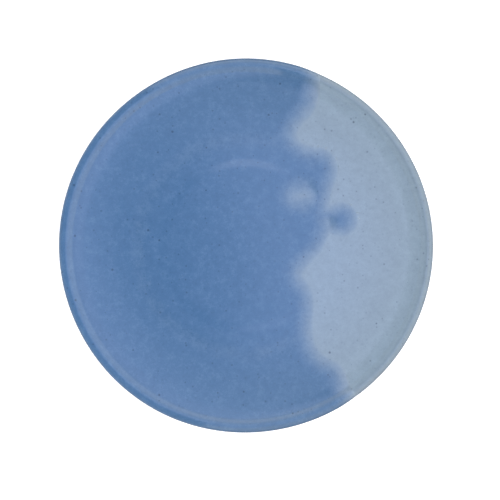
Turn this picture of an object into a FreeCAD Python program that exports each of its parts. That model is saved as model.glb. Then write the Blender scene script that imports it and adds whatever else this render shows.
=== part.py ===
import FreeCAD, Part
import math
import os

# A hand-thrown stoneware plate with a rounded, slightly raised lip, standing on a
# low foot ring. A pale glaze coats the face, the lip and the back, and stops short
# of the foot. A second, darker glaze was dipped over about two thirds of that.
#
# Millimetres, +Z up. The origin is the centre of the circle that the foot rests on.

Vector = FreeCAD.Vector
ORIGIN = Vector(0, 0, 0)
UP = Vector(0, 0, 1)

# Driving dimensions
PLATE_DIAMETER = 216.0      # over both coats of glaze
BASE_COAT = 0.5             # thickness of the pale first glaze
SECOND_COAT = 0.3           # thickness of the darker second glaze

FOOT_HEIGHT = 6.0           # from the table to the underside of the body
FOOT_MEAN_RADIUS = 50.0
FOOT_WIDTH_TOP = 7.0        # where the ring is luted to the body
FOOT_WIDTH_BOTTOM = 5.0     # where it rests on the table
FOOT_EDGE_ROUND = 1.0       # softened edges of the resting face

BODY_THICKNESS = 6.0        # clay under the well
WELL_RADIUS = 65.0          # where the flat well ends
EDGE_ANGLE = 1.5            # slope of the face around the well, in degrees
BEND_RADIUS = 95.0          # where the face bends up towards the lip
LIP_INNER_RADIUS = 100.6    # where the lip begins, at a crease in the clay
RISE_ANGLE = 8.0            # slope of the face, in degrees, just inside the crease
LIP_ANGLE = 38.0            # slope of the lip's inner side, in degrees
LIP_ROUND = 3.0             # radius of the clay lip's round edge
BACK_ANGLE = 38.0           # slope of the back, in degrees, where it meets the lip

GLAZE_LINE_GAP = 4.0        # bare clay left between the foot and the glaze
SECOND_LINE_GAP = 5.0       # pale glaze left below the edge of the second coat

# The edge of the second glaze on the face, from the lip at the back (+Y) to the
# lip at the front. It is irregular, as the glaze ran, so its points are listed.
# Everything on the -X side of it is covered.
FACE_DIP_LINE = [
    (40.0, 112.0),
    (39.8, 97.2),
    (39.2, 85.6),
    (35.8, 77.0),
    (30.0, 70.6),
    (27.1, 63.7),
    (28.8, 59.7),
    (39.2, 55.0),
    (47.3, 52.2),
    (50.2, 47.5),
    (47.9, 33.7),
    (45.6, 24.4),
    (46.2, 10.0),
    (44.4, 4.8),
    (41.5, -1.5),
    (33.5, -10.2),
    (30.0, -17.1),
    (34.6, -24.6),
    (36.3, -39.1),
    (39.2, -60.4),
    (43.3, -65.1),
    (53.1, -70.8),
    (56.5, -79.5),
    (60.0, -86.4),
    (64.5, -95.0),
]
# The same edge on the back, which is calmer. Its ends meet those of the face.
BACK_DIP_LINE = [
    (40.0, 112.0),
    (39.8, 97.2),
    (43.0, 60.0),
    (47.0, 10.0),
    (50.0, -40.0),
    (60.0, -86.4),
    (64.5, -95.0),
]
DROP_CENTRE = (54.8, 15.2)      # a round drop of the second glaze past its edge
DROP_RADIUS = 7.5
NECK_CENTRE = (48.0, 17.5)      # the faint neck that joins the drop to the rest
NECK_LENGTH = 8.0
NECK_WIDTH = 5.0
ISLAND_CENTRE = (32.0, 29.1)    # a spot that the second glaze ran around
ISLAND_LENGTH = 11.0
ISLAND_WIDTH = 8.5

# Worked-out sizes
PLATE_RADIUS = PLATE_DIAMETER / 2
BODY_RADIUS = PLATE_RADIUS - BASE_COAT - SECOND_COAT
WELL_HEIGHT = FOOT_HEIGHT + BODY_THICKNESS
FOOT_OUTER_RADIUS = FOOT_MEAN_RADIUS + FOOT_WIDTH_TOP / 2
GLAZE_LINE_RADIUS = FOOT_OUTER_RADIUS + GLAZE_LINE_GAP
SECOND_LINE_RADIUS = GLAZE_LINE_RADIUS + SECOND_LINE_GAP
BEYOND = 1.5 * PLATE_RADIUS     # a reach that is clear of the whole plate


def point(radius, height):
    """A point of a half section, in the XZ plane."""
    return Vector(radius, 0, height)


def on_circle(centre, radius, degrees):
    """A point on a circle in the XZ plane, at an angle from +X towards +Z."""
    angle = math.radians(degrees)
    return centre + point(radius * math.cos(angle), radius * math.sin(angle))


def arc(centre, radius, first, last):
    """An arc in the XZ plane between two angles, in degrees."""
    angles = (first, (first + last) / 2, last)
    return Part.Arc(*[on_circle(centre, radius, angle) for angle in angles]).toShape()


def rising_arc(start, slope, end_slope, end_radius):
    """An arc from a point that goes from one slope to a steeper one, in degrees, and
    ends at a distance from the axis. Returns the arc and its end."""
    turn = math.sin(math.radians(end_slope)) - math.sin(math.radians(slope))
    radius = (end_radius - start.x) / turn
    centre = on_circle(start, radius, slope + 90)
    edge = arc(centre, radius, slope - 90, end_slope - 90)
    return edge, on_circle(centre, radius, end_slope - 90)


def line(start, end):
    return Part.makeLine(start, end)


def revolve(face):
    return face.revolve(ORIGIN, UP, 360)


def face_profile():
    """The clay's face from the middle to the crease where the lip begins, and the
    crease itself."""
    middle = point(0, WELL_HEIGHT)
    well_edge = point(WELL_RADIUS, WELL_HEIGHT)
    edge_rise = (BEND_RADIUS - WELL_RADIUS) * math.tan(math.radians(EDGE_ANGLE))
    bend = point(BEND_RADIUS, WELL_HEIGHT + edge_rise)
    rise, crease = rising_arc(bend, EDGE_ANGLE, RISE_ANGLE, LIP_INNER_RADIUS)
    return [line(middle, well_edge), line(well_edge, bend), rise], crease


def lip_centre():
    """Centre of the lip's round edge, which touches the lip's sloping inner side."""
    crease = face_profile()[1]
    slope = math.radians(LIP_ANGLE)
    centre_radius = BODY_RADIUS - LIP_ROUND
    run = centre_radius - crease.x - LIP_ROUND * math.sin(slope)
    height = crease.z + run * math.tan(slope) - LIP_ROUND * math.cos(slope)
    return point(centre_radius, height)


def back_arc():
    """Centre and radius of the arc from the flat underside to the lip."""
    slope = math.radians(BACK_ANGLE)
    end = on_circle(lip_centre(), LIP_ROUND, BACK_ANGLE - 90)
    radius = (end.z - FOOT_HEIGHT) / (1 - math.cos(slope))
    return point(end.x - radius * math.sin(slope), FOOT_HEIGHT + radius), radius


def skin(end_radius):
    """The body's half outline from the middle of the face, over the lip and down
    the back, to a radius on the flat underside."""
    face, crease = face_profile()
    lip = lip_centre()
    back, back_radius = back_arc()
    lip_start = LIP_ANGLE + 90
    lip_end = BACK_ANGLE - 90
    return face + [
        line(crease, on_circle(lip, LIP_ROUND, lip_start)),
        arc(lip, LIP_ROUND, lip_start, lip_end),
        arc(back, back_radius, BACK_ANGLE - 90, -90),
        line(point(back.x, FOOT_HEIGHT), point(end_radius, FOOT_HEIGHT)),
    ]


def clay_body():
    """The thrown disc: well, rising edge, round lip and flat underside."""
    underside = point(0, FOOT_HEIGHT)
    outline = skin(0) + [line(underside, point(0, WELL_HEIGHT))]
    return revolve(Part.Face(Part.Wire(outline)))


def foot_ring():
    """The clay ring luted under the body, narrower where it rests."""
    half_top = FOOT_WIDTH_TOP / 2
    half_bottom = FOOT_WIDTH_BOTTOM / 2
    section = Part.makePolygon([
        point(FOOT_MEAN_RADIUS - half_top, FOOT_HEIGHT),
        point(FOOT_MEAN_RADIUS + half_top, FOOT_HEIGHT),
        point(FOOT_MEAN_RADIUS + half_bottom, 0),
        point(FOOT_MEAN_RADIUS - half_bottom, 0),
        point(FOOT_MEAN_RADIUS - half_top, FOOT_HEIGHT),
    ])
    ring = revolve(Part.Face(section))
    resting_edges = [edge for edge in ring.Edges if edge.BoundBox.ZMax < FOOT_EDGE_ROUND]
    return ring.makeFillet(FOOT_EDGE_ROUND, resting_edges)


def coat(end_radius, outer, inner=0):
    """A coat of glaze, from inner to outer above the clay, with a squared end."""
    clay = Part.Wire(skin(end_radius))
    layer = clay.makeOffset2D(outer, 0, True, True)
    if inner > 0:
        layer = layer.cut(clay.makeOffset2D(inner, 0, True, True))
    return revolve(layer)


def base_glaze():
    """The pale coat over the face, the lip and the back, as far as the glaze line."""
    return coat(GLAZE_LINE_RADIUS, BASE_COAT)


def prism(line_points):
    """Everything on the -X side of a dip line, at every height."""
    curve = Part.BSplineCurve()
    curve.interpolate([Vector(x, y, -BEYOND) for x, y in line_points])
    edge = curve.toShape()
    start = edge.firstVertex().Point
    end = edge.lastVertex().Point
    corners = [
        end,
        Vector(end.x, -BEYOND, -BEYOND),
        Vector(-BEYOND, -BEYOND, -BEYOND),
        Vector(-BEYOND, BEYOND, -BEYOND),
        Vector(start.x, BEYOND, -BEYOND),
        start,
    ]
    outline = Part.Wire([edge] + [line(a, b) for a, b in zip(corners, corners[1:])])
    return Part.Face(outline).extrude(Vector(0, 0, 2 * BEYOND))


def upright_cylinder(centre, radius):
    return Part.makeCylinder(radius, 2 * BEYOND, Vector(*centre, -BEYOND), UP)


def face_side():
    """All that lies above a surface inside the clay, which leaves it at mid lip."""
    lip = lip_centre()
    middle_height = FOOT_HEIGHT + BODY_THICKNESS / 2
    corners = [
        point(0, middle_height),
        point(BEND_RADIUS, middle_height),
        lip,
        point(BEYOND, lip.z),
        point(BEYOND, BEYOND),
        point(0, BEYOND),
    ]
    return revolve(Part.Face(Part.makePolygon(corners + corners[:1])))


def second_glaze():
    """The darker coat: its face part with a drop and an island, and its back part."""
    layer = coat(SECOND_LINE_RADIUS, BASE_COAT + SECOND_COAT, BASE_COAT)
    face = face_side()

    neck_corner = Vector(NECK_CENTRE[0] - NECK_LENGTH / 2, NECK_CENTRE[1] - NECK_WIDTH / 2, -BEYOND)
    neck = Part.makeBox(NECK_LENGTH, NECK_WIDTH, 2 * BEYOND, neck_corner)
    drop = upright_cylinder(DROP_CENTRE, DROP_RADIUS)
    outline = Part.Ellipse(Vector(*ISLAND_CENTRE, -BEYOND), ISLAND_LENGTH / 2, ISLAND_WIDTH / 2)
    island = Part.Face(Part.Wire(outline.toShape())).extrude(Vector(0, 0, 2 * BEYOND))

    covered_face = prism(FACE_DIP_LINE).fuse([drop, neck]).cut(island)
    face_part = layer.common(face).common(covered_face)
    back_part = layer.cut(face).common(prism(BACK_DIP_LINE))
    return face_part.fuse(back_part).removeSplitter()


os.makedirs("parts", exist_ok=True)
for build in (clay_body, foot_ring, base_glaze, second_glaze):
    name = build.__name__
    solid = build().Solids[0]
    solid.exportStep("parts/" + name + ".step")
    print(name, round(solid.Volume), "cubic millimetres")
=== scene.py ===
import math

import bpy
import numpy as np
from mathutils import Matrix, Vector, kdtree
from mathutils.bvhtree import BVHTree


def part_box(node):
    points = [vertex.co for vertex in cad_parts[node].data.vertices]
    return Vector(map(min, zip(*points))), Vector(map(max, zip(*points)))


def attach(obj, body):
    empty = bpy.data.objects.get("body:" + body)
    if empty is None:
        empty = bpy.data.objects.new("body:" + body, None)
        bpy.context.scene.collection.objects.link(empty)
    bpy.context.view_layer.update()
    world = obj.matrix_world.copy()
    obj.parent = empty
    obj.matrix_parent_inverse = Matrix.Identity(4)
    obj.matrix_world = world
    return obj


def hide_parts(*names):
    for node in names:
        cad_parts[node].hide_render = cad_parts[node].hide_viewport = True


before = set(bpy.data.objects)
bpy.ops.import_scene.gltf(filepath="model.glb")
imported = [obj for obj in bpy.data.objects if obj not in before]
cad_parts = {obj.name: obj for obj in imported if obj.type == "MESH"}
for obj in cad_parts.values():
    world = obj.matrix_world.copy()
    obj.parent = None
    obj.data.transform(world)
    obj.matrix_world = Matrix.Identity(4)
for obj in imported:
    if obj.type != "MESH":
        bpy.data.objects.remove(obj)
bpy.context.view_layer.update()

# A hand-thrown stoneware plate: a clay body and its foot ring, a pale first glaze all
# over, and a darker second glaze dipped over two thirds of it. Lengths are in
# millimetres in the CAD frame, and become metres only when a mesh or a light is made.

MM = 0.001


# ---------------------------------------------------------------- sizes from the frame

def box_mm(node):
    low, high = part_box(node)
    return np.array(low) / MM, np.array(high) / MM


def triangles_mm(node):
    """A CAD node's vertices, in millimetres, and its triangles."""
    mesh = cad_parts[node].data
    mesh.calc_loop_triangles()
    vertices = np.array([v.co for v in mesh.vertices], float) / MM
    return vertices, np.array([t.vertices for t in mesh.loop_triangles], int)


def height_over_centre(node):
    """Height at which a ray down the plate's axis meets a node."""
    tree = BVHTree.FromPolygons(*[part.tolist() for part in triangles_mm(node)])
    off_axis, well_above = 0.01, 100        # triangles meet in a point on the axis itself
    start = Vector((off_axis, off_axis, well_above))
    return tree.ray_cast(start, Vector((0, 0, -1)))[0].z


BODY_RADIUS = box_mm("clay_body")[1][1]
FOOT_HEIGHT = box_mm("clay_body")[0][2]
WELL_HEIGHT = height_over_centre("clay_body")
BASE_COAT = box_mm("base_glaze")[1][1] - BODY_RADIUS
SECOND_COAT = box_mm("second_glaze")[1][1] - BODY_RADIUS - BASE_COAT
PLATE_RADIUS = BODY_RADIUS + BASE_COAT + SECOND_COAT
FOOT_OUTER = box_mm("foot_ring")[1][1]

# The section of the clay, as in the CAD model, with its slopes in degrees
WELL_RADIUS = 65.0
EDGE_SLOPE = 1.5
BEND_RADIUS = 95.0
CREASE_RADIUS = 100.6
CREASE_SLOPE = 8.0
LIP_SLOPE = 38.0
LIP_ROUND = 3.0
BACK_SLOPE = 38.0
FOOT_WIDTH_TOP = 7.0
FOOT_WIDTH_BOTTOM = 5.0
FOOT_EDGE_ROUND = 1.0
GLAZE_LINE_GAP = 4.0
GLAZE_LINE = FOOT_OUTER + GLAZE_LINE_GAP    # where the first glaze ends on the underside

AROUND = 432                # columns around the axis, in the meshes of the glazes
CLAY_AROUND = 288           # and in those of the clay


def smooth(low, high, value):
    """0 below low, 1 above high, and a soft step between them."""
    share = np.clip((value - low) / (high - low), 0, 1)
    return share * share * (3 - 2 * share)


# ---------------------------------------------------------------- the section's outline

class Outline:
    """The clay's half section, as a walk from the middle of the face, over the lip, to
    the middle of the underside. Along it s is the distance walked, and the slope turns
    evenly between knots, which rounds the well's edge and the lip's crease."""

    STEP = 0.05
    WELL_EASE = 5.0                 # how far inside the well its edge begins to rise
    EDGE_SLOPE_AT_BEND = 1.75       # what the slope around the well has grown to there
    BEND_EASE = 1.5                 # how far either side of the bend it is rounded
    CREASE_EASE = 0.8

    def __init__(self):
        radians = math.radians
        bend = WELL_RADIUS + (BEND_RADIUS - WELL_RADIUS) / math.cos(radians(EDGE_SLOPE))
        turn = math.sin(radians(CREASE_SLOPE)) - math.sin(radians(EDGE_SLOPE))
        rise_radius = (CREASE_RADIUS - BEND_RADIUS) / turn
        self.crease = bend + rise_radius * radians(CREASE_SLOPE - EDGE_SLOPE)
        run = BODY_RADIUS - LIP_ROUND - CREASE_RADIUS - LIP_ROUND * math.sin(radians(LIP_SLOPE))
        self.lip_start = self.crease + run / math.cos(radians(LIP_SLOPE))
        self.crest = self.lip_start + LIP_ROUND * radians(LIP_SLOPE)
        self.lip_side = self.crest + LIP_ROUND * radians(90)
        self.lip_end = self.lip_side + LIP_ROUND * radians(90 - BACK_SLOPE)
        gain = (CREASE_SLOPE - EDGE_SLOPE) / (self.crease - bend)
        eased, bend_eased = self.CREASE_EASE * gain, self.BEND_EASE * gain
        knots = [
            (0, 0),
            (WELL_RADIUS - self.WELL_EASE, 0),
            (bend - self.BEND_EASE, self.EDGE_SLOPE_AT_BEND),
            (bend + self.BEND_EASE, EDGE_SLOPE + bend_eased),
            (self.crease - self.CREASE_EASE, CREASE_SLOPE - eased),
            (self.crease + self.CREASE_EASE, LIP_SLOPE),
            (self.lip_start, LIP_SLOPE),
            (self.lip_end, BACK_SLOPE - 180),
        ]
        self.walk(knots, self.lip_end)
        back_radius = (self.z[-1] - FOOT_HEIGHT) / (1 - math.cos(radians(BACK_SLOPE)))
        self.back_end = self.lip_end + back_radius * radians(BACK_SLOPE)
        flat = self.r[-1] - back_radius * math.sin(radians(BACK_SLOPE))
        self.end = self.back_end + flat
        self.walk(knots + [(self.back_end, -180), (self.end, -180)], self.end)

    def walk(self, knots, end):
        self.s = np.arange(0, end, self.STEP)
        self.slope = np.radians(np.interp(self.s, *zip(*knots)))
        middle = (self.slope[1:] + self.slope[:-1]) / 2
        self.r = np.concatenate([[0], np.cumsum(np.cos(middle)) * self.STEP])
        self.z = WELL_HEIGHT + np.concatenate([[0], np.cumsum(np.sin(middle)) * self.STEP])

    def at(self, s):
        """Radius, height and slope at distances along the outline."""
        return [np.interp(s, self.s, values) for values in (self.r, self.z, self.slope)]

    def on_underside(self, radius):
        """The distance along the outline to a radius on the flat underside."""
        return self.end - radius


outline = Outline()


# The potter's marks, in millimetres: where they are and how high they stand
FOOT_STEP_START, FOOT_STEP_END, FOOT_STEP_HEIGHT = 44.8, 51.0, 0.13
FOOT_STEP_FADED = 92.0      # by this radius the face is back at its true height
RING_PITCH, RING_HEIGHT = 7.4, 0.003
RINGS_START, RINGS_FULL = 6, 16
DISH_START, DISH_FULL, DISH_HEIGHT = 10, 70, 0.05
TURNED_PITCH, TURNED_HEIGHT = 3.1, 0.03
LIP_LOBES, LIP_LOBE_HEIGHT = 5, 0.05


def relief(s, around):
    """How far the potter's hands left the clay above its true section: a low step over
    the foot, rings from throwing and a slight dish on the face, turned rings on the
    back, and lobes on the lip."""
    r = outline.at(s)[0]
    fade = 1 - smooth(FOOT_STEP_END, FOOT_STEP_FADED, r)
    step = FOOT_STEP_HEIGHT * (0.5 - smooth(FOOT_STEP_START, FOOT_STEP_END, r))
    step = step * np.where(r > FOOT_STEP_END, fade, 1)
    wander = 1.3 * np.sin(r / 17.0) + 0.5 * np.sin(2 * around + r / 11.0)
    strength = 0.55 + 0.45 * np.sin(r / 13.0 + around)
    rings = RING_HEIGHT * strength * np.sin(2 * np.pi * r / RING_PITCH + around + wander)
    rings = rings * smooth(RINGS_START, RINGS_FULL, r)
    dish = DISH_HEIGHT * np.cos(2 * around - 0.9) * smooth(DISH_START, DISH_FULL, r)
    face = (step + rings + dish) * (1 - smooth(outline.crease - 6, outline.crease, s))
    turned = np.sin(2 * np.pi * r / TURNED_PITCH + around + np.sin(r / 6.0))
    back = TURNED_HEIGHT * turned * smooth(outline.lip_end + 2, outline.lip_end + 10, s)
    lip = LIP_LOBE_HEIGHT * np.sin(LIP_LOBES * around + 1.0)
    lip = lip * smooth(outline.crease - 3, outline.lip_start, s)
    lip = lip * (1 - smooth(outline.lip_side, outline.lip_end + 4, s))
    return face + back + lip


def true_surface(s, around, lift):
    """Points on the CAD surface, lifted off the clay by a height."""
    r, z, slope = outline.at(s)
    r = r - np.sin(slope) * lift
    z = z + np.cos(slope) * lift
    return np.stack([r * np.cos(around), r * np.sin(around), z], -1)


# How far the plate is out of round: lobes around it, their size, and the degrees at
# which the first of them stands
OUT_OF_ROUND = ((2, 0.06, 15), (3, 0.15, 108), (4, 0.095, -13), (5, 0.055, 27))
MEAN_OUTWARD = 0.05


def warp(points):
    """The thrown plate is a little out of round and its lip isn't quite level. The
    foot, which was turned true, is not moved."""
    x, y, z = np.moveaxis(points, -1, 0)
    around, r = np.arctan2(y, x), np.hypot(x, y)
    outward = MEAN_OUTWARD
    for lobes, size, degrees in OUT_OF_ROUND:
        outward = outward + size * np.cos(lobes * (around - math.radians(degrees)))
    upward = 0.12 * np.cos(2 * (around - math.radians(35))) + 0.06 * np.cos(3 * around + 2.0)
    share = smooth(FOOT_OUTER + 8, PLATE_RADIUS, r)
    new_r = r + share * outward
    return np.stack([new_r * np.cos(around), new_r * np.sin(around), z + share * upward], -1)


def thrown_surface(s, around, lift):
    """The true surface with the potter's relief and warp."""
    return warp(true_surface(s, around, lift + relief(s, around)))


def rows_along(*stretches):
    """Distances along the outline, from stretches of (start, end, spacing)."""
    parts = []
    for start, end, spacing in stretches:
        count = max(1, round(abs(end - start) / spacing))
        parts.append(np.linspace(start, end, count, endpoint=False))
    return np.concatenate(parts + [[stretches[-1][1]]])


def columns(count):
    return np.arange(count) * 2 * np.pi / count


# ---------------------------------------------------------------- meshes

def make_mesh(name, points, faces):
    """A smooth mesh object from points in millimetres."""
    mesh = bpy.data.meshes.new(name)
    mesh.from_pydata((points * MM).tolist(), [], faces)
    mesh.validate()
    mesh.polygons.foreach_set("use_smooth", [True] * len(mesh.polygons))
    piece = bpy.data.objects.new(name, mesh)
    bpy.context.scene.collection.objects.link(piece)
    return piece


def quads(rows, around, wrap_rows=False):
    """Faces of a grid of rows x around points that closes around the axis."""
    row_pairs = rows if wrap_rows else rows - 1
    k, m = np.meshgrid(np.arange(row_pairs), np.arange(around), indexing="ij")
    after_k, after_m = (k + 1) % rows, (m + 1) % around
    row, next_row = k * around, after_k * around
    corners = (row + m, next_row + m, next_row + after_m, row + after_m)
    return np.stack(corners, -1).reshape(-1, 4)


def revolved(name, grid):
    """A closed mesh from rows that start and end at a point on the axis."""
    rows, around = grid.shape[:2]
    faces = quads(rows, around).tolist()
    first, last = rows * around, rows * around + 1
    end_row = (rows - 1) * around
    for m in range(around):
        after = (m + 1) % around
        faces.append([first, m, after])
        faces.append([last, end_row + after, end_row + m])
    poles = np.array([grid[0].mean(0), grid[-1].mean(0)])
    return make_mesh(name, np.concatenate([grid.reshape(-1, 3), poles]), faces)


def set_values(piece, name, values):
    """Stores one number for each vertex, for the material to read."""
    attribute = piece.data.attributes.new(name, "FLOAT", "POINT")
    attribute.data.foreach_set("value", np.asarray(values, np.float32))


def clay_body():
    """The thrown disc. Its face and back are glazed over; its underside is bare."""
    centre = 0.6
    bare = outline.on_underside(GLAZE_LINE + 2)
    rows = rows_along(
        (centre, outline.crease, 3.0),
        (outline.crease, outline.lip_end, 0.6),
        (outline.lip_end, bare, 2.0),
        (bare, outline.on_underside(centre), 0.5),
    )
    s, around = np.meshgrid(rows, columns(CLAY_AROUND), indexing="ij")
    return revolved("clay_body_look", thrown_surface(s, around, 0))


def glaze_end(around):
    """Where the first glaze ends on the underside: a wiped, slightly uneven line."""
    waver = 0.35 * np.sin(3 * around + 0.4) + 0.25 * np.sin(7 * around + 2.0)
    waver = waver + 0.12 * np.sin(17 * around)
    mean_shift = 0.6
    return outline.on_underside(GLAZE_LINE + mean_shift + waver)


FIRST_ROW = 1.2             # how far from the axis the glazes' first row lies


def glaze_rows():
    """Rows that both coats' outer faces share, from near the middle of the face to the
    flat of the underside. If they differed, the thin edge of one would cut the other."""
    return rows_along(
        (FIRST_ROW, 42.0, 1.9),
        (42.0, 53.0, 0.75),
        (53.0, 92.0, 1.9),
        (92.0, outline.crease - 1.5, 0.9),
        (outline.crease - 1.5, outline.lip_end, 0.36),
        (outline.lip_end, outline.back_end, 1.1),
        (outline.back_end, outline.on_underside(GLAZE_LINE + 3.5), 1.1),
    )


SUNK = 0.03                 # how far a coat reaches into what it lies on, so no gap shows
TAIL_ROWS = 12              # rows that crowd together towards the first glaze's edge
BEAD_GAIN, BEAD_PLACE, BEAD_WIDTH = 0.25, 1.6, 1.3
EDGE_ROUND = 0.9            # over which the coat's edge curves down to the clay


def base_glaze():
    """The pale first coat over the face, the lip and the back. It ends in a rounded
    edge short of the foot, and pools in a low bead there."""
    around = columns(AROUND)
    upper = np.repeat(glaze_rows()[:, None], AROUND, 1)
    share = np.linspace(0, 1, TAIL_ROWS + 1)[1:, None]
    tail = upper[-1] + (glaze_end(around) - upper[-1]) * np.sqrt(1 - (1 - share) ** 2)
    outer = np.concatenate([upper, tail])
    left = glaze_end(around) - outer
    bead = 1 + BEAD_GAIN * np.exp(-((left - BEAD_PLACE) / BEAD_WIDTH) ** 2)
    edge = np.sqrt(1 - (1 - np.clip(left / EDGE_ROUND, 0, 1)) ** 2)
    lift = (BASE_COAT * bead + SUNK) * edge - SUNK
    inner_rows = rows_along(
        (outline.back_end, outline.lip_end, 4.0),
        (outline.lip_end, outline.crease, 0.9),
        (outline.crease, FIRST_ROW, 8.0),
    )
    inner = np.repeat(inner_rows[:, None], AROUND, 1)
    s = np.concatenate([outer, inner])
    lift = np.concatenate([lift, np.full(inner.shape, -SUNK)])
    grid = thrown_surface(s, np.broadcast_to(around, s.shape), lift)
    piece = revolved("base_glaze_look", grid)
    poles = [0, 0]
    for name, amount in LIP_SHARES.items():
        set_values(piece, name, np.append(amount(s).ravel(), poles))
    return piece


def crest(s):
    """1 over the top of the lip, where glaze runs thin, and 0 away from it."""
    rise = smooth(outline.lip_start, outline.crest, s)
    return rise * (1 - smooth(outline.lip_side, outline.lip_end, s))


def thin_edge(s):
    """1 on the outermost edge of the lip, and 0 away from it."""
    above_side, width = 0.6, 1.7
    return np.exp(-((s - outline.lip_side + above_side) / width) ** 2)


HIGHLIGHT_START, HIGHLIGHT_FULL = 84, 96        # radii over which the painted highlight on the lip's inner side fades in


def painted_lip_highlight(s):
    """1 on the inner side of the lip, where a highlight is painted, fading inwards over the face
    and at the crest.
    """
    rise = smooth(HIGHLIGHT_START, HIGHLIGHT_FULL, outline.at(s)[0])
    return rise * (1 - smooth(outline.lip_start, outline.crest, s))


LIP_SHARES = {"thin_edge": thin_edge, "crest": crest, "painted_lip_highlight": painted_lip_highlight}


# ---------------------------------------------------------------- the second glaze

FRINGE = 4.5        # how far its feathered edge runs past the line of the CAD solid
FEATHER = 14.0      # the distance over which it reaches its full thickness
HIDDEN = 0.012      # how far its thinnest edge lies under the first coat's surface

# Where a thin wash of it lies over the bare island, and where it thickens the neck
# beside the drop: x, y, reach, and how much deeper inside its edge the coat looks
THIN_WASHES = ((32.0, 29.1, 5.0, 2.3), (48.0, 17.5, 7.0, 0.9))


class DipLine:
    """How far a point lies inside the second glaze's edge, from its CAD solid. The
    solid's walls are the line, and a ray through the coat says which side is covered."""

    def __init__(self):
        vertices, triangles = triangles_mm("second_glaze")
        self.cover = BVHTree.FromPolygons(vertices.tolist(), triangles.tolist())
        corners = vertices[triangles]
        normal = np.cross(corners[:, 1] - corners[:, 0], corners[:, 2] - corners[:, 0])
        length = np.linalg.norm(normal, axis=1)
        whole = length > 1e-9
        corners, normal = corners[whole], normal[whole] / length[whole, None]
        middle = corners.mean(1)
        facing = self.outline_normals(middle)
        wall_limit = 0.5        # a wall stands at 60 degrees or more to the coat's skin
        is_wall = np.abs((normal * facing).sum(1)) < wall_limit
        self.walls = self.tree_of_edges(corners[is_wall])

    @staticmethod
    def outline_normals(points):
        """The direction out of the clay at the part of its outline nearest each point."""
        tree = kdtree.KDTree(len(outline.s))
        for i, (r, z) in enumerate(zip(outline.r, outline.z)):
            tree.insert((r, z, 0), i)
        tree.balance()
        r = np.hypot(points[:, 0], points[:, 1])
        nearest = [tree.find((a, b, 0))[1] for a, b in zip(r, points[:, 2])]
        slope = outline.slope[nearest]
        x = -np.sin(slope) * points[:, 0] / r
        y = -np.sin(slope) * points[:, 1] / r
        return np.stack([x, y, np.cos(slope)], -1)

    @staticmethod
    def tree_of_edges(corners):
        """A search tree of points spread along the edges of triangles."""
        spacing = 0.25
        samples = []
        for a, b in ((0, 1), (1, 2), (2, 0)):
            for start, end in zip(corners[:, a], corners[:, b]):
                count = max(2, int(np.linalg.norm(end - start) / spacing))
                samples.append(start + (end - start) * np.linspace(0, 1, count)[:, None])
        samples = np.concatenate(samples)
        tree = kdtree.KDTree(len(samples))
        for i, point in enumerate(samples):
            tree.insert(point, i)
        tree.balance()
        return tree

    def measure(self, s, around):
        """Distance inside the edge, below 0 outside it, and the nearest edge point."""
        middle = true_surface(s, around, BASE_COAT + SECOND_COAT / 2)
        below = true_surface(s, around, BASE_COAT / 2)
        reach = BASE_COAT / 2 + SECOND_COAT
        distance = np.empty(s.shape)
        nearest = np.empty(s.shape + (3,))
        for index in np.ndindex(s.shape):
            point, _, away = self.walls.find(middle[index])
            outward = (middle[index] - below[index])
            outward = Vector(outward / np.linalg.norm(outward))
            hit = self.cover.ray_cast(Vector(below[index]), outward, reach)[0]
            distance[index] = away if hit is not None else -away
            nearest[index] = point
        return distance, middle, nearest


def snap_to_fringe(s, around, distance, middle, nearest):
    """Moves the grid points beside the fringe's end onto it, by up to half a cell. Points
    that a thin wash has put further inside the coat stay where they are."""
    half_cell, far_enough_out = 0.52, 1.5
    away = middle - nearest
    span = np.maximum(np.linalg.norm(away, axis=-1, keepdims=True), 1e-6)
    move = nearest + away / span * FRINGE - middle
    r, _, slope = outline.at(s)
    level = np.cos(slope)
    along = np.stack([level * np.cos(around), level * np.sin(around), np.sin(slope)], -1)
    across = np.stack([-np.sin(around), np.cos(around), np.zeros_like(around)], -1)
    step_s = (move * along).sum(-1)
    step_around = (move * across).sum(-1) / r
    cell_s = np.gradient(s, axis=0)
    cell_around = 2 * np.pi / AROUND
    near = np.abs(step_s) < half_cell * cell_s
    near = near & (np.abs(step_around) < half_cell * cell_around)
    near = near & (distance < far_enough_out - FRINGE)
    s = np.where(near, s + step_s, s)
    around = np.where(near, around + step_around, around)
    distance = np.where(near, -FRINGE, distance)
    return s, around, distance


def thin_wash(points):
    """How much deeper inside the second glaze's edge the coat looks at its washes."""
    extra = 0.0
    for x, y, reach, deeper in THIN_WASHES:
        away = np.hypot(points[..., 0] - x, points[..., 1] - y)
        extra = extra + deeper * np.exp(-(away / reach) ** 2)
    return extra


def covered_faces(inside):
    """Quads of the grid whose corners are all inside, and the triangles left of those
    with one corner outside."""
    rows, around = inside.shape
    all_quads = quads(rows, around)
    flags = inside.ravel()[all_quads]
    kept = flags.sum(1)
    faces = all_quads[kept == 4].tolist()
    for quad, flag in zip(all_quads[kept == 3], flags[kept == 3]):
        faces.append([int(v) for v, is_in in zip(quad, flag) if is_in])
    return faces


def boundary_points(faces):
    """Points on an edge that only one face has."""
    count = {}
    for face in faces:
        for a, b in zip(face, face[1:] + face[:1]):
            key = (a, b) if a < b else (b, a)
            count[key] = count.get(key, 0) + 1
    return {v for edge, times in count.items() if times == 1 for v in edge}


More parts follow.
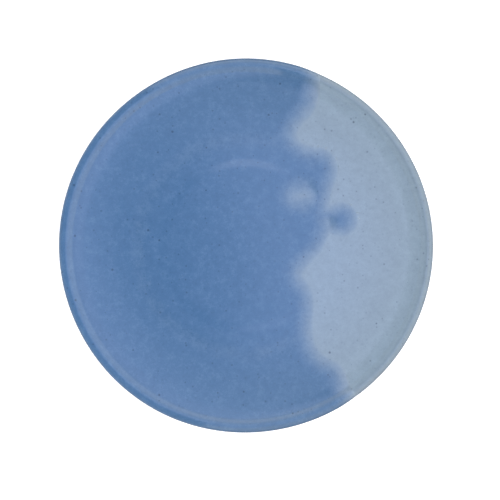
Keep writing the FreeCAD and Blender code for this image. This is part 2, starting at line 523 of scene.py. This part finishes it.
def second_glaze():
    """The darker coat. It thins to nothing over its fringe, so its edge has no step."""
    dip = DipLine()
    tail = rows_along((glaze_rows()[-1], outline.on_underside(GLAZE_LINE + 1.5), 1.1))[1:]
    rows = np.concatenate([glaze_rows(), tail])
    s, around = np.meshgrid(rows, columns(AROUND), indexing="ij")
    distance, middle, nearest = dip.measure(s, around)
    distance = distance + thin_wash(middle)
    s, around, distance = snap_to_fringe(s, around, distance, middle, nearest)
    rounding = 1e-6
    inside = distance >= -FRINGE - rounding
    faces = covered_faces(inside)
    middle_of_face = s.size
    if inside[0].all():
        faces += [[middle_of_face, m, (m + 1) % AROUND] for m in range(AROUND)]
    build = smooth(-FRINGE, FEATHER - FRINGE, distance)
    outer_lift = BASE_COAT - HIDDEN + (SECOND_COAT + HIDDEN) * build
    edge = boundary_points(faces)
    flat_lift = outer_lift.ravel()
    flat_lift[list(edge)] = BASE_COAT - HIDDEN
    outer = thrown_surface(s, around, flat_lift.reshape(s.shape)).reshape(-1, 3)
    inner = thrown_surface(s, around, BASE_COAT - HIDDEN - SUNK * build).reshape(-1, 3)
    outer = np.concatenate([outer, outer[:AROUND].mean(0)[None]])
    inner = np.concatenate([inner, inner[:AROUND].mean(0)[None]])
    used = sorted({v for face in faces for v in face})
    outer_index = {v: i for i, v in enumerate(used)}
    free = [v for v in used if v not in edge]
    inner_index = {v: len(used) + i for i, v in enumerate(free)}
    all_faces = [[outer_index[v] for v in face] for face in faces]
    all_faces += [[inner_index.get(v, outer_index[v]) for v in reversed(face)] for face in faces]
    points = np.concatenate([outer[used], inner[free]])
    piece = make_mesh("second_glaze_look", points, all_faces)
    edge_points = {outer_index[v] for v in edge}
    for mesh_edge in piece.data.edges:
        mesh_edge.use_edge_sharp = edge_points.issuperset(mesh_edge.vertices)
    order = used + free
    far_inside = 50.0
    depth = np.append(distance.ravel(), far_inside)
    set_values(piece, "dip", depth[order])
    for name, amount in LIP_SHARES.items():
        set_values(piece, name, np.append(amount(s).ravel(), 0)[order])
    return piece


# ---------------------------------------------------------------- the foot ring

FOOT_FLARE, FLARE_HEIGHT = 1.3, 1.6     # the hollow fillets where it meets the body
FOOT_SUNK = 0.25                        # how far the ring reaches up into the body


def foot_section():
    """The foot ring's section as a closed loop of (radius, height): up its outer side
    from a soft resting edge, and down its inner side, which mirrors it."""
    mean = FOOT_OUTER - FOOT_WIDTH_TOP / 2
    half_top, half_bottom = FOOT_WIDTH_TOP / 2, FOOT_WIDTH_BOTTOM / 2
    angles = np.radians(np.linspace(-90, 0, 8))
    edge_width = half_bottom - FOOT_EDGE_ROUND + FOOT_EDGE_ROUND * np.cos(angles)
    edge_height = FOOT_EDGE_ROUND + FOOT_EDGE_ROUND * np.sin(angles)
    wall_height = np.linspace(FOOT_EDGE_ROUND, FOOT_HEIGHT + FOOT_SUNK, 16)[1:]
    straight = half_bottom + (half_top - half_bottom) * wall_height / FOOT_HEIGHT
    flare = FOOT_FLARE * smooth(FOOT_HEIGHT - FLARE_HEIGHT, FOOT_HEIGHT, wall_height) ** 2
    width = np.concatenate([edge_width, straight + flare])
    height = np.concatenate([edge_height, wall_height])
    outer = np.stack([mean + width, height], -1)
    inner = np.stack([mean - width, height], -1)[::-1]
    return np.concatenate([outer, inner])


def foot_ring():
    """The luted clay ring, turned, with a waver left in its sides."""
    section = foot_section()
    around = columns(CLAY_AROUND)
    r = section[:, :1] + 0 * around
    z = section[:, 1:] + 0 * around
    share = smooth(0, 1.5, z) * (1 - smooth(FOOT_HEIGHT - 0.6, FOOT_HEIGHT, z))
    pitch = 1.1
    turned = 0.035 * np.sin(2 * np.pi * z / pitch + around) + 0.10 * np.sin(3 * around + 1.0)
    outward = np.sign(section[:, :1] - section[:, :1].mean())
    r = r + share * turned * outward
    grid = np.stack([r * np.cos(around), r * np.sin(around), z], -1)
    faces = quads(len(section), CLAY_AROUND, wrap_rows=True)[:, ::-1].tolist()
    return make_mesh("foot_ring_look", grid.reshape(-1, 3), faces)


# ---------------------------------------------------------------- materials

class Tree:
    """Adds nodes to a node tree and joins them up."""

    def __init__(self, owner):
        owner.use_nodes = True
        self.tree = owner.node_tree
        self.tree.nodes.clear()

    def add(self, kind, inputs=None, **settings):
        node = self.tree.nodes.new(kind)
        for name, value in settings.items():
            setattr(node, name, value)
        for name, value in (inputs or {}).items():
            self.put(node.inputs[name], value)
        return node

    def put(self, socket, value):
        if isinstance(value, bpy.types.NodeSocket):
            self.tree.links.new(value, socket)
        else:
            socket.default_value = value

    def math(self, operation, *values):
        node = self.add("ShaderNodeMath", dict(enumerate(values)), operation=operation)
        return node.outputs[0]

    def step(self, value, low, high, low_out=0.0, high_out=1.0):
        """A soft step from low_out to high_out as value goes from low to high."""
        inputs = {0: value, 1: low, 2: high, 3: low_out, 4: high_out}
        return self.add("ShaderNodeMapRange", inputs, interpolation_type="SMOOTHSTEP").outputs[0]

    def spread(self, noise, gain):
        """Noise centred on 0, times a gain."""
        return self.math("MULTIPLY", self.math("SUBTRACT", noise, 0.5), gain)

    def noise(self, place, size, detail=2.0, roughness=0.5):
        """Noise between 0 and 1, with features about size millimetres across."""
        inputs = {"Vector": place, "Scale": 1 / (size * MM)}
        inputs.update({"Detail": detail, "Roughness": roughness})
        return self.add("ShaderNodeTexNoise", inputs).outputs[0]

    def dots(self, place, cell, radius, share):
        """Round dots, one to a share of the cells, of up to a radius in millimetres."""
        inputs = {"Vector": place, "Scale": 1 / (cell * MM), "Randomness": 1.0}
        cells = self.add("ShaderNodeTexVoronoi", inputs)
        pick = self.add("ShaderNodeSeparateColor", {0: cells.outputs["Color"]})
        size = self.step(pick.outputs[0], 1 - share, 1.0, 0.0, radius / cell)
        core = self.math("MULTIPLY", size, 0.45)        # inside which a dot is full
        inputs = {0: cells.outputs["Distance"], 1: size, 2: core, 3: 0.0, 4: 1.0}
        return self.add("ShaderNodeMapRange", inputs).outputs[0]

    def scaled_dots(self, place, strength, **settings):
        return self.math("MULTIPLY", self.dots(place, **settings), strength)

    def mix(self, share, first, second, blend="MIX"):
        node = self.add("ShaderNodeMix", data_type="RGBA", blend_type=blend)
        self.put(node.inputs[0], share)
        self.put(node.inputs[6], first)
        self.put(node.inputs[7], second)
        return node.outputs[2]

    def brightness(self, colour, factor):
        """A colour times a number."""
        grey = self.add("ShaderNodeCombineColor", {0: factor, 1: factor, 2: factor})
        return self.mix(1.0, colour, grey.outputs[0], "MULTIPLY")

    def tinted(self, colour, share, tint):
        """A colour times a share of a tint."""
        return self.mix(1.0, colour, self.mix(share, WHITE, tint), "MULTIPLY")

    def attribute(self, name):
        return self.add("ShaderNodeAttribute", attribute_name=name).outputs["Fac"]

    def coordinates(self, place):
        """The x, y and z of a place."""
        return self.add("ShaderNodeSeparateXYZ", {0: place}).outputs

    def axis_distance(self, place):
        """The distance of a place from the plate's axis."""
        x, y, _ = self.coordinates(place)
        flat = self.add("ShaderNodeCombineXYZ", {0: x, 1: y}).outputs[0]
        return self.add("ShaderNodeVectorMath", {0: flat}, operation="LENGTH").outputs["Value"]

    def bump(self, height, depth):
        """A normal from a height between 0 and 1, with a depth in millimetres."""
        inputs = {"Height": height, "Strength": 1.0, "Distance": depth * MM}
        return self.add("ShaderNodeBump", inputs).outputs[0]

    def principled(self, **inputs):
        """The material's shader, from inputs named with _ for a space."""
        inputs = {name.replace("_", " "): value for name, value in inputs.items()}
        shader = self.add("ShaderNodeBsdfPrincipled", inputs)
        self.add("ShaderNodeOutputMaterial", {"Surface": shader.outputs[0]})


WHITE = (1, 1, 1, 1)

PALE = (0.224, 0.299, 0.381, 1)
DARK = (0.0702, 0.151, 0.286, 1)
SPECK = (0.020, 0.035, 0.075, 1)
PINHOLE = (0.62, 0.68, 0.75, 1)
PAINTED_WARM_LIGHT = (1.0, 0.975, 0.92, 1)   # a painted warm cast of light, on the outer face away from the left

# Tints of the first glaze and of the dipped one, by the share of LIP_SHARES they go by. The one on
# the lip's inner side is a painted highlight
TINTS = {
    "crest": ((0.90, 0.91, 0.90, 1), (1.06, 1.04, 1.02, 1)),
    "thin_edge": ((0.92, 0.86, 0.80, 1), (0.92, 0.86, 0.80, 1)),
    # a painted highlight on the lip's inner side, lighter on the pale glaze than on the dark
    "painted_lip_highlight": ((1.09, 1.09, 1.08, 1), (1.07, 1.04, 1.03, 1)),
}

CLAY_DARK = (0.36, 0.27, 0.19, 1)
CLAY_LIGHT = (0.45, 0.345, 0.25, 1)
CLAY_SPECK = (0.07, 0.04, 0.025, 1)
GROG = (0.62, 0.55, 0.46, 1)


def dipped_colour(tree, place, mottle):
    """The dark glaze over the pale one. It thickens inwards from a ragged edge, and
    breaks to paler clouds."""
    depth = tree.attribute("dip")
    wander = tree.spread(tree.noise(place, size=9.0, detail=4.0, roughness=0.7), 6.0)
    share = tree.math("POWER", tree.step(tree.math("ADD", depth, wander), -4.0, 10.0), 0.55)
    share = tree.math("MULTIPLY", share, tree.step(depth, -3.6, -1.2))
    thinner = tree.spread(mottle, 0.55)
    share = tree.math("SUBTRACT", share, tree.math("MULTIPLY", share, thinner))
    return tree.mix(share, PALE, DARK)


def glaze(name, dipped):
    """A glossy, opaque stoneware glaze with iron specks, clouding and a soft skin, with a
    painted highlight on the lip's inner side and a painted warm cast of light away from the
    left. The dipped one turns from the pale colour to the dark one across its edge."""
    material = bpy.data.materials.new(name)
    tree = Tree(material)
    place = tree.add("ShaderNodeTexCoord").outputs["Object"]
    mottle = tree.noise(place, size=6.0, detail=4.0, roughness=1.0)
    fine = tree.noise(place, size=1.5, detail=3.0, roughness=0.6)

    colour = dipped_colour(tree, place, mottle) if dipped else PALE
    radius = PLATE_RADIUS * MM
    # a painted warm cast of light, strongest on the outer face towards the right
    outer = tree.step(tree.axis_distance(place), 0.42 * radius, 0.9 * radius)
    rightward = tree.step(tree.coordinates(place)[0], -radius, 0.3 * radius)
    colour = tree.tinted(colour, tree.math("MULTIPLY", outer, rightward), PAINTED_WARM_LIGHT)
    # one of these tints is a painted highlight on the lip's inner side
    for share_name, tints in TINTS.items():
        colour = tree.tinted(colour, tree.attribute(share_name), tints[dipped])
    colour = tree.brightness(colour, tree.math("ADD", 1.0, tree.spread(mottle, 0.45)))

    big = tree.scaled_dots(place, 0.55, cell=7.0, radius=0.95, share=0.75)
    small = tree.scaled_dots(place, 0.35, cell=3.8, radius=0.75, share=0.9)
    freckles = tree.scaled_dots(place, 0.1, cell=2.4, radius=0.9, share=0.7)
    specks = tree.math("MAXIMUM", tree.math("MAXIMUM", big, small), freckles)
    colour = tree.mix(specks, colour, SPECK)
    pinholes = tree.dots(place, cell=9.0, radius=0.4, share=0.25)
    colour = tree.mix(tree.math("MULTIPLY", pinholes, 0.22), colour, PINHOLE)

    rough = tree.step(tree.noise(place, size=9.0, detail=3.0), 0.3, 0.7, 0.075, 0.105)
    waves = tree.math("MULTIPLY", tree.noise(place, size=3.4, detail=2.0), 0.6)
    skin = tree.math("ADD", waves, tree.math("MULTIPLY", fine, 0.12))
    skin = tree.math("SUBTRACT", skin, tree.math("MULTIPLY", pinholes, 0.5))
    normal = tree.bump(skin, depth=0.006)
    tree.principled(Base_Color=colour, Roughness=rough, Normal=normal, IOR=1.5)
    return material


def bare_clay(name):
    """Fired, unglazed stoneware: buff, sandy, with iron specks and turning scratches."""
    material = bpy.data.materials.new(name)
    tree = Tree(material)
    place = tree.add("ShaderNodeTexCoord").outputs["Object"]
    clouds = tree.noise(place, size=18.0, detail=4.0)
    sand = tree.noise(place, size=0.45, detail=3.0, roughness=0.65)
    colour = tree.mix(tree.step(clouds, 0.3, 0.7), CLAY_DARK, CLAY_LIGHT)
    colour = tree.brightness(colour, tree.step(sand, 0.25, 0.75, 0.86, 1.12))
    large = tree.dots(place, cell=4.0, radius=0.5, share=0.5)
    small = tree.scaled_dots(place, 0.6, cell=1.7, radius=0.28, share=0.5)
    specks = tree.math("MULTIPLY", tree.math("MAXIMUM", large, small), 0.75)
    colour = tree.mix(specks, colour, CLAY_SPECK)
    grog = tree.scaled_dots(place, 0.35, cell=2.2, radius=0.35, share=0.35)
    colour = tree.mix(grog, colour, GROG)
    inputs = {"W": tree.axis_distance(place), "Scale": 1 / (0.5 * MM), "Detail": 3.0}
    scratches = tree.add("ShaderNodeTexNoise", inputs, noise_dimensions="1D").outputs[0]
    height = tree.math("ADD", sand, tree.math("MULTIPLY", scratches, 0.8))
    rough = tree.step(sand, 0.3, 0.7, 0.72, 0.88)
    tree.principled(Base_Color=colour, Roughness=rough, Normal=tree.bump(height, depth=0.05))
    return material


# ---------------------------------------------------------------- the pieces

pale_finish = glaze("pale_finish", dipped=False)
dark_finish = glaze("dark_finish", dipped=True)
clay_finish = bare_clay("clay_finish")

for build, node, slot, finish in (
    (clay_body, "clay_body", "fired_clay", clay_finish),
    (foot_ring, "foot_ring", "fired_clay", clay_finish),
    (base_glaze, "base_glaze", "pale_blue_glaze", pale_finish),
    (second_glaze, "second_glaze", "mid_blue_glaze", dark_finish),
):
    piece = build()
    piece.data.materials.append(finish)
    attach(piece, "root")
    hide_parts(node)


# ---------------------------------------------------------------- floor, light, camera

CAMERA_HEIGHT = 1500.0      # above the widest part of the lip
VIEW_WIDTH = 288.7          # what the frame takes in at that height
AIM = (2.26, -2.45)         # the plate sits a little up and left of the frame's middle
SENSOR = 36.0

FLOOR_RADIUS = 4000.0
FLOOR_HEIGHT = -0.2         # the grey floor lies just under the white paper
PAPER_GLOW = 0.6
OVERHEAD_TINT = (0.93, 1.06, 1.55, 1)   # of the dome straight above, which is bluer

# Lights: place and size in metres, power in watts, and whether the glaze mirrors them
LIGHTS = {
    "lamp": ((0.0, 0.235, 1.5), 0.18, 0.06, True),
    "left_fill": ((-1.6, -0.2, 0.9), 1.2, 8.0, False),
    "low_fill": ((-1.6, -0.5, 0.4), 0.7, 18.0, False),
}


def disc(name, radius, height):
    """A flat round mesh about the axis."""
    around = columns(96)
    edge = np.stack([np.cos(around) * radius, np.sin(around) * radius, 0 * around], -1)
    points = np.concatenate([edge, [[0, 0, 0]]]) + np.array([0, 0, height])
    return make_mesh(name, points, [[len(edge), m, (m + 1) % len(edge)] for m in range(len(edge))])


def plain_material(name, colour, glow):
    """A matt surface that glows white by a strength."""
    material = bpy.data.materials.new(name)
    glow_inputs = {"Emission_Color": WHITE, "Emission_Strength": glow}
    Tree(material).principled(Base_Color=colour, Roughness=0.9, **glow_inputs)
    return material


def sky_strength(tree):
    """How bright the dome is in each direction. It is dark on the left up to a line
    that passes nearly overhead and bends to the right at its ends, and bright right of
    that. Low down it is brighter beyond the plate, on the right and on the near side."""
    x, y, z = tree.coordinates(tree.add("ShaderNodeTexCoord").outputs["Generated"])
    sideways = tree.math("ABSOLUTE", y)
    slanted = tree.math("ADD", x, tree.math("MULTIPLY", y, 0.2))
    near_overhead = tree.math("ADD", slanted, tree.math("MULTIPLY", sideways, 0.1))
    far_sideways = tree.math("MAXIMUM", tree.math("SUBTRACT", sideways, 0.05), 0.0)
    away_from_left = tree.math("ADD", near_overhead, tree.math("MULTIPLY", far_sideways, 0.33))
    strength = tree.step(away_from_left, -0.019, 0.010, 0.0, 1.4)
    low_down = tree.step(z, 0.98, 0.75)
    beyond = tree.step(y, 0.7, 0.97, 0.0, 0.9)
    right = tree.step(x, 0.1, 0.7, 0.0, 0.35)
    near_side = tree.step(y, -0.2, -0.8, 0.0, 0.15)
    for side in (beyond, right, near_side):
        strength = tree.math("ADD", strength, tree.math("MULTIPLY", side, low_down))
    return strength


def area_light(name, place, size, power, seen_in_gloss):
    """A round soft light that faces the origin."""
    data = bpy.data.lights.new(name, "AREA")
    data.shape = "DISK"
    data.size = size
    data.energy = power
    holder = bpy.data.objects.new(name, data)
    holder.location = place
    holder.rotation_euler = (-Vector(place)).to_track_quat("-Z", "Y").to_euler()
    holder.visible_glossy = seen_in_gloss
    bpy.context.scene.collection.objects.link(holder)


def studio():
    """A dome that is dark on the left, a small lamp beyond the camera that the glaze
    shows as a short bright arc, matt fill light from the left, and a floor. The floor's
    white paper is only for the camera, and lights nothing."""
    floor = disc("floor", FLOOR_RADIUS, FLOOR_HEIGHT)
    floor.data.materials.append(plain_material("floor_grey", (0.5, 0.5, 0.5, 1), 0.0))
    paper = disc("white_paper", FLOOR_RADIUS, 0.0)
    paper.data.materials.append(plain_material("paper_white", (0.9, 0.9, 0.9, 1), PAPER_GLOW))
    paper.visible_diffuse = False
    paper.visible_glossy = False
    paper.visible_shadow = False
    world = bpy.data.worlds.new("studio")
    bpy.context.scene.world = world
    tree = Tree(world)
    height = tree.coordinates(tree.add("ShaderNodeTexCoord").outputs["Generated"])[2]
    colour = tree.mix(tree.step(height, 0.75, 0.98), WHITE, OVERHEAD_TINT)
    inputs = {"Color": colour, "Strength": sky_strength(tree)}
    background = tree.add("ShaderNodeBackground", inputs)
    tree.add("ShaderNodeOutputWorld", {"Surface": background.outputs[0]})
    for name, settings in LIGHTS.items():
        area_light(name, *settings)


def camera():
    """Looks straight down from far off, through a long lens."""
    widest = box_mm("clay_body")[1][2] - LIP_ROUND
    data = bpy.data.cameras.new("camera")
    data.sensor_width = SENSOR
    data.lens = SENSOR * CAMERA_HEIGHT / VIEW_WIDTH
    data.clip_end = 20.0
    viewer = bpy.data.objects.new("camera", data)
    viewer.location = (AIM[0] * MM, AIM[1] * MM, (CAMERA_HEIGHT + widest) * MM)
    bpy.context.scene.collection.objects.link(viewer)
    bpy.context.scene.camera = viewer


studio()
camera()
bpy.context.scene.view_settings.view_transform = "Standard"
